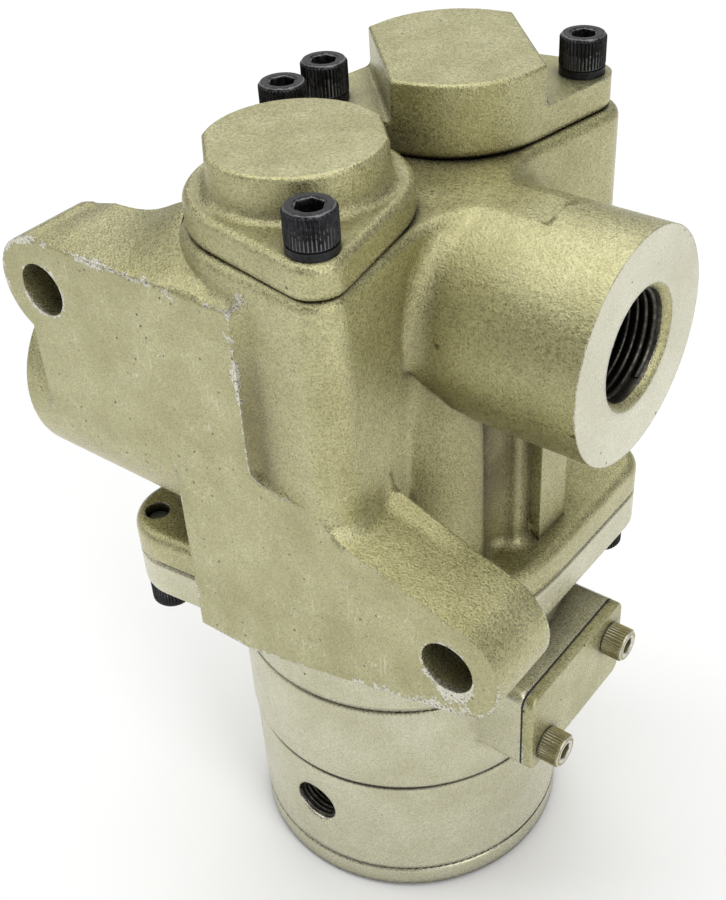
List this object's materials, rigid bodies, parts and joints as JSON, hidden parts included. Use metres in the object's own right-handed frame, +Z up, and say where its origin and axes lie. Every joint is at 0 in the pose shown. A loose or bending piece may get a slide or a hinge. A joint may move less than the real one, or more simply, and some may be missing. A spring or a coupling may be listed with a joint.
{
  "type": "pneumatic valve",
  "caption": "Pilot-operated poppet valve in a cast body with a flat mounting plate, ear holes, side ports, bolted chamber caps and a round pilot cylinder below.",
  "frame": {"origin": "centre of the pilot cylinder's flat bottom face", "axes": "+Z up along the pilot cylinder; +X out of the supply port; -Y out of the mounting face"},
  "size_m": [0.1272, 0.1065, 0.2055],
  "materials": {
    "olive_coat": "satin metallic olive-gold coating over cast aluminium, worn bright on edges",
    "olive_coat_turned": "satin olive-gold coating over turned aluminium",
    "black_oxide": "black oxide steel, knurled head",
    "coated_screw": "steel screw coated with the body",
    "spring_steel": "bright spring steel",
    "stainless": "turned stainless steel",
    "piston_aluminium": "turned aluminium",
    "bronze": "turned bearing bronze",
    "rubber": "black nitrile rubber",
    "seat_face": "dark sealing polymer",
    "slide_ring": "filled low-friction plastic",
    "gasket_fibre": "dark fibre gasket sheet"
  },
  "bodies": {
    "valve": {"valve_body": "olive_coat", "front_cap": "olive_coat", "back_cap": "olive_coat", "cap_screws": "black_oxide", "cap_washers": "black_oxide", "cap_o_rings": "rubber", "stem_seals": "rubber", "lower_housing": "olive_coat_turned", "housing_o_ring": "rubber", "housing_screws": "black_oxide", "housing_washers": "black_oxide", "bottom_cap": "olive_coat_turned", "bottom_cap_o_ring": "rubber", "cover_gasket": "gasket_fibre", "cover_plate": "olive_coat_turned", "cover_screws": "coated_screw", "front_seat": "stainless", "front_guide": "bronze", "front_spring": "spring_steel", "back_seat": "stainless", "back_guide": "bronze", "back_spring": "spring_steel"},
    "piston": {"pilot_piston": "piston_aluminium", "piston_seal": "rubber", "piston_guide_ring": "slide_ring"},
    "front_poppet": {"front_stem": "stainless", "front_disc": "stainless", "front_disc_seal": "seat_face", "front_nut": "stainless"},
    "back_poppet": {"back_stem": "stainless", "back_disc": "stainless", "back_disc_seal": "seat_face", "back_nut": "stainless"}
  },
  "joints": [
    {"name": "piston_lift", "type": "slide", "parent": "valve", "child": "piston", "axis": [0, 0, 1], "range_m": [0, 0.006]},
    {"name": "front_poppet_lift", "type": "slide", "parent": "valve", "child": "front_poppet", "axis": [0, 0, 1], "range_m": [0, 0.006], "deforming": ["front_spring"]},
    {"name": "back_poppet_lift", "type": "slide", "parent": "valve", "child": "back_poppet", "axis": [0, 0, 1], "range_m": [0, 0.006], "deforming": ["back_spring"]}
  ],
  "couplings": [
    {"joint": "front_poppet_lift", "follows": "piston_lift", "ratio": 1},
    {"joint": "back_poppet_lift", "follows": "piston_lift", "ratio": 1}
  ]
}
